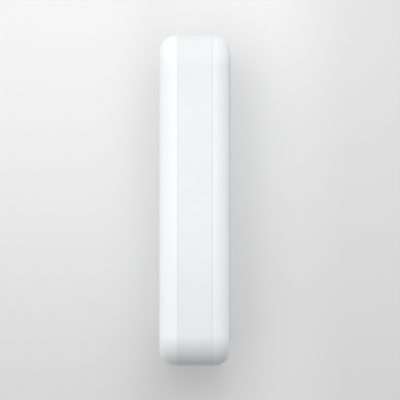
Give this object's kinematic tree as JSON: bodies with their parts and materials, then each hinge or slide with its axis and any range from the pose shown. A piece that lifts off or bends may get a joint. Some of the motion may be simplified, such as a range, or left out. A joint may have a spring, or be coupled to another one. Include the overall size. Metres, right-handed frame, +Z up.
{
  "type": "video doorbell",
  "caption": "Slim white battery video doorbell with a camera window, motion lens and lit push button, hooked on a flat wall bracket.",
  "frame": {"origin": "centre of the wall bracket's back face, in the wall plane", "axes": "+Z up, -Y out of the wall towards the visitor, X across the width"},
  "size_m": [0.046, 0.028, 0.131],
  "materials": {
    "white_shell": "satin moulded plastic",
    "inner_plastic": "fine moulded texture",
    "bracket_plastic": "fine moulded texture",
    "smoked_window": "polished, dark smoke tint",
    "lens_glass": "polished, coated",
    "black_trim": "satin black",
    "chip": "moulded package",
    "diffuser": "translucent, frosted",
    "lens_film": "milky, slightly translucent",
    "silicone": "matt",
    "white_rubber": "matt",
    "circuit_board": "solder mask",
    "tinned": "tin plated",
    "brass": "plated, lightly brushed",
    "steel": "zinc plated",
    "aluminium": "rolled sheet",
    "cell_wrap": "shrink wrap",
    "foam": "closed-cell foam",
    "label": "blank printed stock"
  },
  "bodies": {
    "bracket": {"wall_bracket": "bracket_plastic"},
    "housing": {"front_cover": "white_shell", "mid_frame": "white_shell", "rear_cover": "white_shell", "camera_window": "smoked_window", "lens_trim_ring": "black_trim", "front_lens": "lens_glass", "lens_barrel": "black_trim", "lens_holder": "inner_plastic", "image_sensor": "chip", "ir_led_left": "lens_glass", "ir_led_right": "lens_glass", "light_sensor": "chip", "pir_lens": "lens_film", "pir_sensor": "tinned", "mic_mesh": "black_trim", "mic_boot": "silicone", "microphone": "tinned", "sensor_board": "circuit_board", "light_ring": "diffuser", "button_seal": "silicone", "button_switch": "tinned", "button_board": "circuit_board", "front_gasket": "silicone", "rear_gasket": "silicone", "inner_chassis": "inner_plastic", "main_board": "circuit_board", "shield_can": "tinned", "antenna": "tinned", "battery_pack": "cell_wrap", "battery_pad": "foam", "battery_connector": "lens_film", "heat_spreader": "aluminium", "power_board": "circuit_board", "usb_socket": "tinned", "speaker_gasket": "foam", "speaker_frame": "inner_plastic", "speaker_diaphragm": "black_trim", "speaker_magnet": "steel", "terminal_plate_left": "brass", "terminal_screw_left": "brass", "terminal_plate_right": "brass", "terminal_screw_right": "brass", "pairing_switch": "tinned", "case_screw_upper_left": "steel", "case_screw_upper_right": "steel", "case_screw_lower_left": "steel", "case_screw_lower_right": "steel", "rating_label": "label", "latch_spring": "steel"},
    "button": {"button_cap": "white_shell"},
    "pairing": {"pairing_button": "silicone"},
    "latch": {"release_latch": "inner_plastic"},
    "flap": {"usb_flap": "white_rubber"}
  },
  "joints": [
    {"name": "housing_tilt", "type": "hinge", "parent": "bracket", "child": "housing", "pos_m": [0, -0.002, 0.0595], "axis": [-1, 0, 0], "range_deg": [0, 10]},
    {"name": "button_press", "type": "slide", "parent": "housing", "child": "button", "axis": [0, 1, 0], "range_m": [0, 0.0006], "stiffness_N_per_m": 600, "springref_m": -0.0025},
    {"name": "pairing_press", "type": "slide", "parent": "housing", "child": "pairing", "axis": [0, -1, 0], "range_m": [0, 0.0005], "stiffness_N_per_m": 600, "springref_m": -0.0025},
    {"name": "latch_release", "type": "slide", "parent": "housing", "child": "latch", "axis": [0, 0, 1], "range_m": [0, 0.0015], "stiffness_N_per_m": 400, "springref_m": -0.003, "deforming": ["latch_spring"]},
    {"name": "flap_open", "type": "hinge", "parent": "housing", "child": "flap", "pos_m": [0.0067, -0.01205, -0.065], "axis": [0, -1, 0], "range_deg": [0, 100]}
  ]
}
